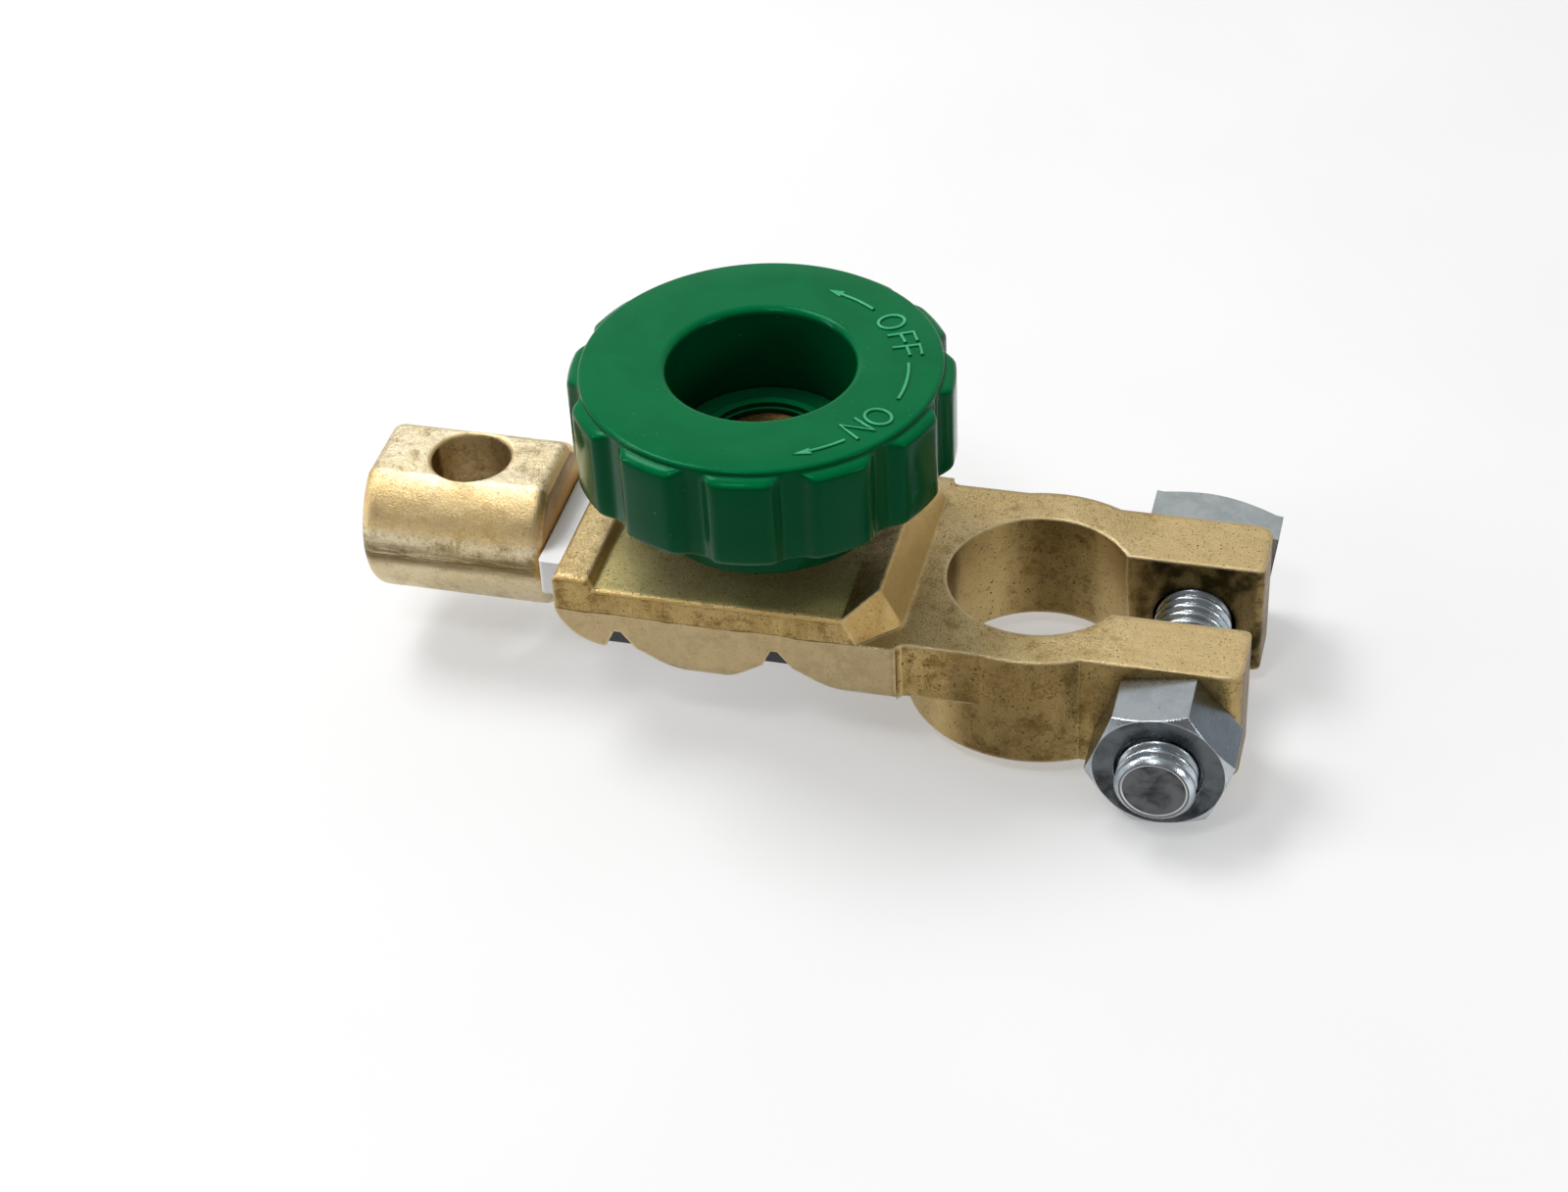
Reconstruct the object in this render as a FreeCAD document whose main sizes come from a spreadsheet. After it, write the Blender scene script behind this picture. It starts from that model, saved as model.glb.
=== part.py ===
import FreeCAD, Part
import math
import os
import re
import Sketcher

# Battery terminal clamp with a built-in screw switch.
# The brass casting clamps round a battery post. Its housing holds the tongue of a separate brass
# cable terminal, insulated from it by white nylon. A brass stud under the green knob is screwed
# through the housing's roof, and its tip presses on the tongue to close the circuit.
#
# Frame: millimetres, +Z up, origin on the axis of the post bore, level with the casting's top
# deck. The ears and the clamp bolt are towards +X, the knob and the cable barrel towards -X.

os.makedirs("parts", exist_ok=True)
doc = FreeCAD.newDocument("battery_terminal_clamp")

# Driving sizes, each with what it measures
SIZES = {
    # clamp end of the casting
    "post_radius": (9.4, "bore round the post at its narrow end"),
    "post_land": (3.0, "straight stretch of the bore at its narrow end"),
    "post_taper": (18.0, "bore length over which its radius grows by one"),
    "collar_radius": (13.8, "outside of the collar round the post"),
    "collar_height": (12.9, "deck to underside of collar and ears"),
    "ear_gap": (9.46, "between the two ears"),
    "ear_half_width": (12.3, "centre line to an ear's outer face"),
    "ear_reach": (22.1, "post axis to the ears' ends"),
    "ear_corner": (1.8, "rounding of the ears' outer corners"),
    "ear_inner_corner": (0.8, "rounding of the ears' inner corners"),
    "bolt_reach": (15.15, "post axis to bolt axis"),
    "bolt_drop": (7.4, "deck to bolt axis"),
    "bolt_clearance": (0.25, "hole wall to bolt"),
    # neck between collar and housing
    "neck_set_in": (1.05, "housing's side to the neck's side"),
    "neck_thickness": (6.55, "deck to the neck's underside"),
    "neck_root_round": (0.9, "hollow rounding where neck and housing meet"),
    # housing
    "housing_near": (11.8, "post axis to the housing's near foot"),
    "housing_far": (46.9, "post axis to the housing's far end"),
    "housing_half_width": (14.4, "centre line to the housing's side"),
    "roof_height": (2.9, "deck to the flat under the knob"),
    "rim_height": (4.1, "deck to the top of the far rim"),
    "rim_width": (3.7, "width of the far rim's top"),
    "rim_step_run": (0.5, "run of the step down from the rim"),
    "ridge_height": (4.3, "deck to the crest of the near ridge"),
    "ridge_run": (2.3, "run of the ridge's outer slope"),
    "ridge_inner_run": (3.1, "run of the ridge's inner slope"),
    "corner_bevel": (3.9, "bevel across the ridge's two corners, in plan"),
    "edge_round": (0.6, "rounding of the housing's upper edges"),
    "crest_round": (0.4, "rounding of the ridge's crest"),
    "boss_radius": (7.2, "threaded boss in the roof"),
    "boss_height": (2.3, "boss above the roof"),
    # skirt of the housing, cut into tabs that are bent in below the insulators
    "skirt_depth": (7.2, "deck to the underside of the bent tabs"),
    "skirt_bend": (2.2, "outer radius of the bend"),
    "skirt_thickness": (1.9, "thickness of the bent tabs"),
    "side_wall": (2.05, "thickness of the skirt's side walls"),
    "tab_reach": (5.2, "how far a tab reaches in from the side"),
    "notch_first": (40.5, "post axis to the far notches"),
    "notch_second": (24.2, "post axis to the near notches"),
    "notch_slot": (0.35, "half width of a notch at its top"),
    "notch_top": (2.1, "deck to the top of a notch"),
    "knee_drop": (4.0, "deck to the knee below a notch's steep edges"),
    "knee_run_far": (0.9, "run of a notch's edge on its far side"),
    "knee_run_near": (1.5, "run of a notch's edge on its near side"),
    "foot_run_far": (5.0, "knee to the tab's full depth, far side"),
    "foot_run_near": (6.0, "knee to the tab's full depth, near side"),
    "end_tab_depth": (4.15, "deck to the far tabs' lower edge"),
    "end_tab_sweep": (5.5, "radius of the far tabs' outer corner"),
    "end_tab_run": (5.3, "housing's far end to the centre of that radius"),
    # insulators and tongue
    "sleeve_top": (1.5, "deck to the top of the insulating tray"),
    "sleeve_bottom": (2.6, "deck down to the tray's lower edge"),
    "sleeve_half_width": (9.3, "centre line to the tray's side"),
    "sleeve_wall": (0.9, "wall of the tray"),
    "sleeve_far": (50.2, "post axis to the tray's open end"),
    "sleeve_near": (17.1, "post axis to the tray's closed end"),
    "fit_gap": (0.05, "clearance of parts that fit into one another"),
    "tongue_thickness": (2.25, "thickness of the tongue"),
    "tongue_neck_half": (6.4, "centre line to the side of the tongue's neck"),
    "tongue_shoulder": (44.3, "post axis to the tongue's shoulders"),
    "floor_set_back": (2.4, "housing's far end to the floor plate"),
    # cable barrel
    "barrel_radius": (8.5, "round of the barrel"),
    "barrel_drop": (0.73, "deck down to the barrel's axis"),
    "barrel_flat": (7.48, "barrel axis to either flat"),
    "barrel_far": (70.0, "post axis to the barrel's free end"),
    "barrel_near": (50.3, "post axis to the barrel's inner end"),
    "barrel_round": (1.3, "rounding of the barrel's ends"),
    "cable_hole_radius": (4.15, "hole for the cable's bolt"),
    "cable_hole_reach": (59.9, "post axis to the cable hole's axis"),
    "cable_hole_chamfer": (0.3, "chamfer of the cable hole"),
    # knob
    "knob_reach": (28.0, "post axis to knob axis"),
    "knob_seat": (5.6, "deck to the hub's underside when tightened"),
    "knob_height": (17.0, "height of the knob with its hub"),
    "knob_radius": (18.15, "knob between its lobes"),
    "lobe_height": (1.1, "how far the lobes stand out from the knob"),
    "lobe_count": (12, "number of lobes"),
    "lobe_phase": (8.2, "turn of the lobes at rest, in degrees"),
    "shell_bottom": (6.3, "hub's underside to the lower end of the lobed shell"),
    "shell_wall": (2.2, "wall of the lobed shell between its lobes"),
    "lobe_shoulder": (0.6, "knob's top to the top of the lobes"),
    "lobe_ledge": (0.2, "flat left on a lobe's top inside its rounded edge"),
    "valley_half": (1.22, "half width of a valley's floor"),
    "valley_round": (0.95, "rounding of a lobe's upright edges"),
    "recess_radius": (9.4, "recess in the knob's top"),
    "recess_floor": (7.4, "hub's underside to the recess floor"),
    "recess_round": (0.8, "rounding of the recess's rim"),
    "ring_radius": (6.0, "inside of the raised ring in the recess"),
    "ring_width": (0.9, "width of that ring"),
    "ring_height": (0.5, "raised ring above the recess floor"),
    "head_seat": (6.4, "hub's underside to the seat of the stud's head"),
    "head_gap": (0.4, "stud's head to the wall of its counterbore"),
    "hub_wall": (2.85, "wall of the hub round the recess"),
    "hub_round": (0.3, "rounding of the hub's lower edge"),
    "hollow_top": (3.4, "knob's top to the top of the hollow round the hub"),
    "rib_count": (6, "ribs between hub and shell"),
    "rib_width": (1.6, "width of a rib"),
    "rib_setback": (0.8, "shell's lower end to the ribs"),
    # stud
    "stud_radius": (5.0, "stud over its thread"),
    "stud_neck_radius": (4.0, "neck that passes through the knob"),
    "stud_head_radius": (5.2, "head above the knob's floor"),
    "stud_head_height": (0.9, "height of that head"),
    "stud_tip_chamfer": (1.0, "chamfer of the contact tip"),
    # clamp bolt and nut
    "bolt_radius": (4.0, "bolt over its thread"),
    "bolt_end": (9.2, "seat of the nut to the bolt's end"),
    "bolt_chamfer": (0.8, "chamfer of the bolt's end"),
    "head_width": (13.3, "square head across its flats"),
    "head_height": (5.3, "height of the square head"),
    "head_chamfer": (1.3, "height of the chamfer on the head's corners"),
    "head_turn": (7.0, "turn of the square head, in degrees"),
    "nut_width": (13.0, "nut across its flats"),
    "nut_height": (6.5, "height of the nut"),
    "nut_turn": (9.6, "turn of the nut at rest, in degrees"),
    "nut_chamfer": (0.8, "height of the chamfer on the nut's corners"),
}

# Places that follow from the driving sizes
PLACES = {
    "crest": "-(housing_near + ridge_run)",
    "roof_near": "crest - ridge_inner_run",
    "rim_near": "-(housing_far - rim_width)",
    "roof_far": "rim_near + rim_step_run",
    "boss_top": "roof_height + boss_height",
    "tongue_top": "sleeve_top - sleeve_wall - fit_gap",
    "tongue_bottom": "tongue_top - tongue_thickness",
    "tongue_near": "-(sleeve_near + sleeve_wall + fit_gap)",
    "tongue_half_width": "sleeve_half_width - sleeve_wall - fit_gap",
    "tray_neck_half": "tongue_neck_half + fit_gap",
    "floor_bottom": "-(skirt_depth - skirt_thickness)",
    "neck_half_width": "housing_half_width - neck_set_in",
    "cavity_half_width": "housing_half_width - side_wall",
    "floor_half_width": "cavity_half_width - fit_gap",
    "floor_far": "-(housing_far - floor_set_back)",
    "cavity_near": "-(sleeve_near - fit_gap)",
    "tab_edge": "housing_half_width - tab_reach",
    "lobe_radius": "knob_radius + lobe_height",
    "lobe_edge": "lobe_height - lobe_ledge",
    "hub_radius": "recess_radius + hub_wall",
    "shell_inside": "knob_radius - shell_wall",
    "stud_tip": "tongue_top - knob_seat",
}


def make_sheet():
    """The spreadsheet of driving sizes, one row each."""
    table = doc.addObject("Spreadsheet::Sheet", "sizes")
    for row, (name, (size, note)) in enumerate(SIZES.items(), start=1):
        table.set(f"A{row}", note)
        table.set(f"B{row}", str(size))
        table.setAlias(f"B{row}", name)
    doc.recompute()
    return table


def bind(text):
    """Turn a formula in the names above into an expression on the sheet's cells."""
    def swap(match):
        word = match.group(0)
        if word in PLACES:
            return "(" + bind(PLACES[word]) + ")"
        return "sizes." + word if word in SIZES else word
    return re.sub(r"[a-z][a-z_]*", swap, text)


sheet = make_sheet()


def number(text):
    """The value of a formula at the present sizes."""
    return float(sheet.evalExpression(bind(text)))


def new_body(label):
    body = doc.addObject("PartDesign::Body", label)
    body.Label = label
    return body


def new_sketch(body, name, role, offset=None):
    """A sketch on one of the body's own origin planes, moved along its normal by offset."""
    plane = next(item for item in body.Origin.OriginFeatures if item.Role == role)
    sketch = body.newObject("Sketcher::SketchObject", name)
    sketch.AttachmentSupport = [(plane, "")]
    sketch.MapMode = "FlatFace"
    if offset is not None:
        sketch.setExpression(".AttachmentOffset.Base.z", bind(offset))
    return sketch


def tie(sketch, kind, geometry, point, formula):
    """Bind one coordinate of a point, or a circle's radius, to a formula."""
    if kind == "Radius":
        constraint = Sketcher.Constraint(kind, geometry, number(formula))
    else:
        constraint = Sketcher.Constraint(kind, -1, 1, geometry, point, number(formula))
    index = sketch.addConstraint(constraint)
    sketch.setExpression(f"Constraints[{index}]", bind(formula))


def draw_polygon(sketch, corners):
    """A closed outline of straight lines through corners, each a pair of formulas."""
    points = [FreeCAD.Vector(number(across), number(up), 0) for across, up in corners]
    first = sketch.GeometryCount
    for start, end in zip(points, points[1:] + points[:1]):
        sketch.addGeometry(Part.LineSegment(start, end), False)
    for side, (across, up) in enumerate(corners):
        following = first + (side + 1) % len(corners)
        sketch.addConstraint(Sketcher.Constraint("Coincident", first + side, 2, following, 1))
        tie(sketch, "DistanceX", first + side, 1, across)
        tie(sketch, "DistanceY", first + side, 1, up)


def draw_rectangle(sketch, left, right, low, high):
    draw_polygon(sketch, [(left, low), (right, low), (right, high), (left, high)])


def draw_circle(sketch, across, up, radius):
    centre = FreeCAD.Vector(number(across), number(up), 0)
    circle = sketch.addGeometry(Part.Circle(centre, FreeCAD.Vector(0, 0, 1), number(radius)), False)
    tie(sketch, "DistanceX", circle, 3, across)
    tie(sketch, "DistanceY", circle, 3, up)
    tie(sketch, "Radius", circle, 0, radius)


def draw_arc(sketch, centre, radius, start_degrees, end_degrees, start_tie, end_tie):
    """A quarter arc. Each end is held by the one coordinate that it shares with the centre."""
    middle = FreeCAD.Vector(number(centre[0]), number(centre[1]), 0)
    circle = Part.Circle(middle, FreeCAD.Vector(0, 0, 1), number(radius))
    angles = math.radians(start_degrees), math.radians(end_degrees)
    arc = sketch.addGeometry(Part.ArcOfCircle(circle, *angles), False)
    tie(sketch, "DistanceX", arc, 3, centre[0])
    tie(sketch, "DistanceY", arc, 3, centre[1])
    tie(sketch, "Radius", arc, 0, radius)
    tie(sketch, start_tie[0], arc, 1, start_tie[1])
    tie(sketch, end_tie[0], arc, 2, end_tie[1])
    return arc


def draw_lines(sketch, corners):
    """An open run of lines. Returns the numbers of its first and last line."""
    points = [FreeCAD.Vector(number(across), number(up), 0) for across, up in corners]
    lines = []
    for start, end in zip(points, points[1:]):
        lines.append(sketch.addGeometry(Part.LineSegment(start, end), False))
    for line, following in zip(lines, lines[1:]):
        sketch.addConstraint(Sketcher.Constraint("Coincident", line, 2, following, 1))
        across, up = corners[lines.index(following)]
        tie(sketch, "DistanceX", following, 1, across)
        tie(sketch, "DistanceY", following, 1, up)
    return lines[0], lines[-1]


def join(sketch, first, first_end, second, second_end):
    sketch.addConstraint(Sketcher.Constraint("Coincident", first, first_end, second, second_end))


def check_change(feature, before, grows):
    """Stop if a feature left the solid as it was, or changed it the wrong way."""
    doc.recompute()
    change = feature.Shape.Volume - before
    if (change > 0) != grows or abs(change) < 1e-3:
        raise RuntimeError(f"{feature.Label} changed the volume by {change:.3f}")
    return feature


def body_volume(body):
    doc.recompute()
    return body.Shape.Volume if body.Tip and not body.Shape.isNull() else 0.0


def pad(body, sketch, name, length, reverse=False, both_ways=False):
    before = body_volume(body)
    feature = body.newObject("PartDesign::Pad", name)
    feature.Profile = sketch
    feature.setExpression("Length", bind(length))
    feature.Reversed = reverse
    if both_ways:
        feature.SideType = "Symmetric"
    return check_change(feature, before, True)


def pocket(body, sketch, name, length=None, reverse=False, both_ways=False):
    before = body_volume(body)
    feature = body.newObject("PartDesign::Pocket", name)
    feature.Profile = sketch
    feature.Reversed = reverse
    if length is None:
        feature.Type = "ThroughAll"
    else:
        feature.setExpression("Length", bind(length))
    if both_ways:
        feature.SideType = "Symmetric"
    return check_change(feature, before, False)


def spin(body, sketch, name, axis, cut=False):
    """Revolve a sketch all the way round one of its own axes."""
    before = body_volume(body)
    kind = "PartDesign::Groove" if cut else "PartDesign::Revolution"
    feature = body.newObject(kind, name)
    feature.Profile = sketch
    feature.ReferenceAxis = (sketch, [axis])
    feature.Angle = 360
    return check_change(feature, before, not cut)


def edges_where(feature, test):
    names = [f"Edge{index}" for index, edge in enumerate(feature.Shape.Edges, start=1) if test(edge)]
    if not names:
        raise RuntimeError(f"no edge found on {feature.Label}")
    return names


def dress(body, base, kind, name, size, test):
    """Fillet or chamfer the edges of base that pass the test."""
    doc.recompute()
    feature = body.newObject(f"PartDesign::{kind}", name)
    feature.Base = (base, edges_where(base, test))
    feature.setExpression("Radius" if kind == "Fillet" else "Size", bind(size))
    doc.recompute()
    if feature.Shape.isNull() or "Invalid" in feature.State:
        raise RuntimeError(f"{name} failed: {feature.getStatusString()}")
    return feature


def polar(body, base, name, count):
    """Repeat a feature evenly round the body's upright axis."""
    before = body_volume(body)
    feature = body.newObject("PartDesign::PolarPattern", name)
    feature.Originals = [base]
    axis = next(item for item in body.Origin.OriginFeatures if item.Role == "Z_Axis")
    feature.Axis = (axis, [""])
    feature.Angle = 360
    feature.setExpression("Occurrences", bind(count))
    body.Tip = feature
    doc.recompute()
    if abs(feature.Shape.Volume - before) < 1e-3:
        raise RuntimeError(f"{name} repeated nothing")
    return feature


def place(body, across="0", along="0", up="0", axis=(0, 0, 1), turn="0"):
    body.Placement = FreeCAD.Placement(FreeCAD.Vector(), FreeCAD.Rotation(FreeCAD.Vector(*axis), 1))
    body.setExpression(".Placement.Base.x", bind(across))
    body.setExpression(".Placement.Base.y", bind(along))
    body.setExpression(".Placement.Base.z", bind(up))
    body.setExpression(".Placement.Rotation.Angle", bind(turn))


# Tests that pick edges by where they lie

def near(value, target):
    return abs(value - target) < 0.02


def is_upright(edge):
    box = edge.BoundBox
    return box.XLength < 0.02 and box.YLength < 0.02 and box.ZLength > 0.1


def is_level_at(edge, height):
    box = edge.BoundBox
    return box.ZLength < 0.02 and near(box.ZMin, height)


def ring_at(edge, radius, height):
    """A full circle round the body's own axis."""
    curve = edge.Curve
    if not isinstance(curve, Part.Circle) or not edge.isClosed():
        return False
    return near(curve.Radius, radius) and near(curve.Center.z, height)


# The clamp casting

def make_clamp_body():
    body = new_body("clamp_body")
    add_housing_block(body)
    add_neck_and_clamp(body)
    add_raised_housing(body)
    add_boss(body)
    cut_cavities(body)
    cut_notches(body)
    cut_clamp(body)
    return body


def add_housing_block(body):
    """Lower half of the housing, whose long lower edges are rolled in."""
    sketch = new_sketch(body, "housing_plan", "XY_Plane")
    draw_rectangle(sketch, "-housing_far", "-housing_near", "-housing_half_width", "housing_half_width")
    block = pad(body, sketch, "housing_block", "skirt_depth", reverse=True)
    bottom = -number("skirt_depth")

    def long_edge(edge):
        return is_level_at(edge, bottom) and edge.BoundBox.YLength < 0.02
    dress(body, block, "Fillet", "skirt_roll", "skirt_bend", long_edge)


def add_neck_and_clamp(body):
    """Neck plate, collar round the post and the block that the ears are cut from."""
    sketch = new_sketch(body, "neck_plan", "XY_Plane")
    draw_neck(sketch)
    pad(body, sketch, "neck", "neck_thickness", reverse=True)
    sketch = new_sketch(body, "collar_plan", "XY_Plane")
    draw_circle(sketch, "0", "0", "collar_radius")
    pad(body, sketch, "collar", "collar_height", reverse=True)
    sketch = new_sketch(body, "ear_plan", "XY_Plane")
    draw_rectangle(sketch, "0", "ear_reach", "-ear_half_width", "ear_half_width")
    ears = pad(body, sketch, "ears", "collar_height", reverse=True)
    ends = number("ear_reach")

    def ear_corner(edge):
        return is_upright(edge) and near(edge.BoundBox.XMin, ends)
    dress(body, ears, "Fillet", "ear_corners", "ear_corner", ear_corner)


def draw_neck(sketch):
    """Plan of the neck, with hollow roundings where it runs into the housing."""
    foot = "-housing_near"
    centre_x = "-housing_near + neck_root_round"
    centre_y = "neck_half_width + neck_root_round"
    front = draw_arc(
        sketch, (centre_x, f"-({centre_y})"), "neck_root_round", 90, 180,
        ("DistanceX", centre_x), ("DistanceY", f"-({centre_y})"))
    back = draw_arc(
        sketch, (centre_x, centre_y), "neck_root_round", 180, 270,
        ("DistanceY", centre_y), ("DistanceX", centre_x))
    first, last = draw_lines(sketch, [
        (centre_x, "-neck_half_width"),
        ("0", "-neck_half_width"),
        ("0", "neck_half_width"),
        (centre_x, "neck_half_width"),
    ])
    join(sketch, front, 1, first, 1)
    join(sketch, last, 2, back, 2)
    first, last = draw_lines(sketch, [
        (foot, centre_y),
        (foot, "neck_half_width"),
        (f"{foot} - 1", "neck_half_width"),
        (f"{foot} - 1", "-neck_half_width"),
        (foot, "-neck_half_width"),
        (foot, f"-({centre_y})"),
    ])
    join(sketch, back, 1, first, 1)
    join(sketch, last, 2, front, 2)


def add_raised_housing(body):
    """Upper half of the housing: rim, step, flat roof and ridge, in one side profile."""
    sketch = new_sketch(body, "housing_side", "XZ_Plane")
    draw_polygon(sketch, [
        ("-housing_far", "0"),
        ("-housing_near", "0"),
        ("crest", "ridge_height"),
        ("roof_near", "roof_height"),
        ("roof_far", "roof_height"),
        ("rim_near", "rim_height"),
        ("-housing_far", "rim_height"),
    ])
    raised = pad(body, sketch, "raised_housing", "2 * housing_half_width", both_ways=True)
    half_width = number("housing_half_width")

    def upper_edge(edge):
        box = edge.BoundBox
        outer = near(abs(box.YMin), half_width) and box.YLength < 0.02
        far_end = near(box.XMin, -number("housing_far")) and box.XLength < 0.02
        return box.ZMin > 0.5 and (outer or far_end) and not is_upright(edge)
    dress(body, raised, "Fillet", "upper_edges", "edge_round", upper_edge)
    beveled = bevel_ridge_corners(body)

    def crest_edge(edge):
        box = edge.BoundBox
        return near(box.ZMin, number("ridge_height")) and box.XLength < 0.02
    dress(body, beveled, "Fillet", "crest", "crest_round", crest_edge)


def bevel_ridge_corners(body):
    """Bevel the ridge's two corners with faces that lean back like its outer slope."""
    for side, name in ((-1, "front"), (1, "back")):
        sketch = new_sketch(body, f"ridge_corner_{name}_plan", "XY_Plane")
        foot = "-housing_near"
        bevel_start = f"{side} * (housing_half_width - corner_bevel)"
        bevel_end = f"{side} * housing_half_width"
        outside = f"{side} * (housing_half_width + corner_bevel)"
        draw_polygon(sketch, [
            (foot, bevel_start),
            (f"{foot} - corner_bevel", bevel_end),
            (f"{foot} - corner_bevel", outside),
            (f"{foot} + corner_bevel", outside),
            (f"{foot} + corner_bevel", bevel_start),
        ])
        before = body_volume(body)
        cut = body.newObject("PartDesign::Pocket", f"ridge_corner_{name}")
        cut.Profile = sketch
        cut.UseCustomVector = True
        cut.Direction = FreeCAD.Vector(0, 0, 1)
        cut.setExpression("Direction.x", bind("-ridge_run / ridge_height"))
        cut.setExpression("Length", bind("2 * ridge_height"))
        check_change(cut, before, False)
    return cut


def add_boss(body):
    sketch = new_sketch(body, "boss_plan", "XY_Plane", "roof_height - 1")
    draw_circle(sketch, "-knob_reach", "0", "boss_radius")
    pad(body, sketch, "stud_boss", "boss_height + 1")


def cut_cavities(body):
    """Channel for the insulating tray, seat of the floor plate and the opening between the tabs."""
    sketch = new_sketch(body, "tray_channel_plan", "XY_Plane", "sleeve_top + fit_gap")
    side = "sleeve_half_width + fit_gap"
    draw_rectangle(sketch, "-(housing_far + 1)", "cavity_near", f"-({side})", side)
    pocket(body, sketch, "tray_channel", "sleeve_top + fit_gap + sleeve_bottom")
    sketch = new_sketch(body, "floor_seat_plan", "XY_Plane", "-sleeve_bottom")
    open_end = "-(housing_far + 1)"
    draw_rectangle(sketch, open_end, "cavity_near", "-cavity_half_width", "cavity_half_width")
    pocket(body, sketch, "floor_seat", "-floor_bottom - sleeve_bottom")
    sketch = new_sketch(body, "tab_opening_plan", "XY_Plane", "-sleeve_bottom")
    near_side = "cavity_near - skirt_thickness"
    draw_rectangle(sketch, open_end, near_side, "-tab_edge", "tab_edge")
    pocket(body, sketch, "tab_opening")
    sketch = new_sketch(body, "stud_hole_plan", "XY_Plane", "boss_top + 1")
    draw_circle(sketch, "-knob_reach", "0", "stud_radius + fit_gap")
    pocket(body, sketch, "stud_hole", "boss_height + roof_height + 1")


def cut_notches(body):
    """Notches that part the bent skirt into three tabs on each side, and the far tabs' outline."""
    below = "-(skirt_depth + 1)"
    for name in ("notch_first", "notch_second"):
        sketch = new_sketch(body, name + "_side", "XZ_Plane")
        far_slot = f"-{name} - notch_slot"
        near_slot = f"-{name} + notch_slot"
        far_foot = f"{far_slot} - knee_run_far - foot_run_far"
        near_foot = f"{near_slot} + knee_run_near + foot_run_near"
        draw_polygon(sketch, [
            (near_foot, below),
            (near_foot, "-skirt_depth"),
            (f"{near_slot} + knee_run_near", "-knee_drop"),
            (near_slot, "-notch_top"),
            (far_slot, "-notch_top"),
            (f"{far_slot} - knee_run_far", "-knee_drop"),
            (far_foot, "-skirt_depth"),
            (far_foot, below),
        ])
        pocket(body, sketch, name, both_ways=True)
    sketch = new_sketch(body, "far_tab_side", "XZ_Plane")
    centre = ("end_tab_run - housing_far", "end_tab_sweep - end_tab_depth")
    start_up = f"{centre[1]} - sqrt(end_tab_sweep^2 - end_tab_run^2)"
    start = math.degrees(math.atan2(number(f"{start_up} - ({centre[1]})"), -number("end_tab_run")))
    arc = draw_arc(
        sketch, centre, "end_tab_sweep", start, -90,
        ("DistanceX", "-housing_far"), ("DistanceX", centre[0]))
    outside = "-(housing_far + 1)"
    first, last = draw_lines(sketch, [
        (centre[0], "-end_tab_depth"),
        ("-notch_first", "-end_tab_depth"),
        ("-notch_first", below),
        (outside, below),
        (outside, start_up),
        ("-housing_far", start_up),
    ])
    join(sketch, arc, 2, first, 1)
    join(sketch, last, 2, arc, 1)
    pocket(body, sketch, "far_tab", both_ways=True)


def cut_clamp(body):
    """Tapered post bore, slot between the ears and the bolt's hole through both ears."""
    sketch = new_sketch(body, "post_bore_side", "XZ_Plane")
    wide = "post_radius + (collar_height + 1 - post_land) / post_taper"
    draw_polygon(sketch, [
        ("0", "1"),
        ("post_radius", "1"),
        ("post_radius", "-post_land"),
        (wide, "-(collar_height + 1)"),
        ("0", "-(collar_height + 1)"),
    ])
    spin(body, sketch, "post_bore", "V_Axis", cut=True)
    sketch = new_sketch(body, "ear_slot_plan", "XY_Plane")
    draw_rectangle(sketch, "0", "ear_reach + 1", "-ear_gap / 2", "ear_gap / 2")
    slot = pocket(body, sketch, "ear_slot", "collar_height")
    ends = number("ear_reach")

    def inner_corner(edge):
        return is_upright(edge) and near(edge.BoundBox.XMin, ends) and near(
            abs(edge.BoundBox.YMin), number("ear_gap / 2"))
    dress(body, slot, "Fillet", "ear_inner_corners", "ear_inner_corner", inner_corner)
    sketch = new_sketch(body, "bolt_hole_side", "XZ_Plane")
    draw_circle(sketch, "bolt_reach", "-bolt_drop", "bolt_radius + bolt_clearance")
    pocket(body, sketch, "bolt_hole", both_ways=True)


# The cable terminal

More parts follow.
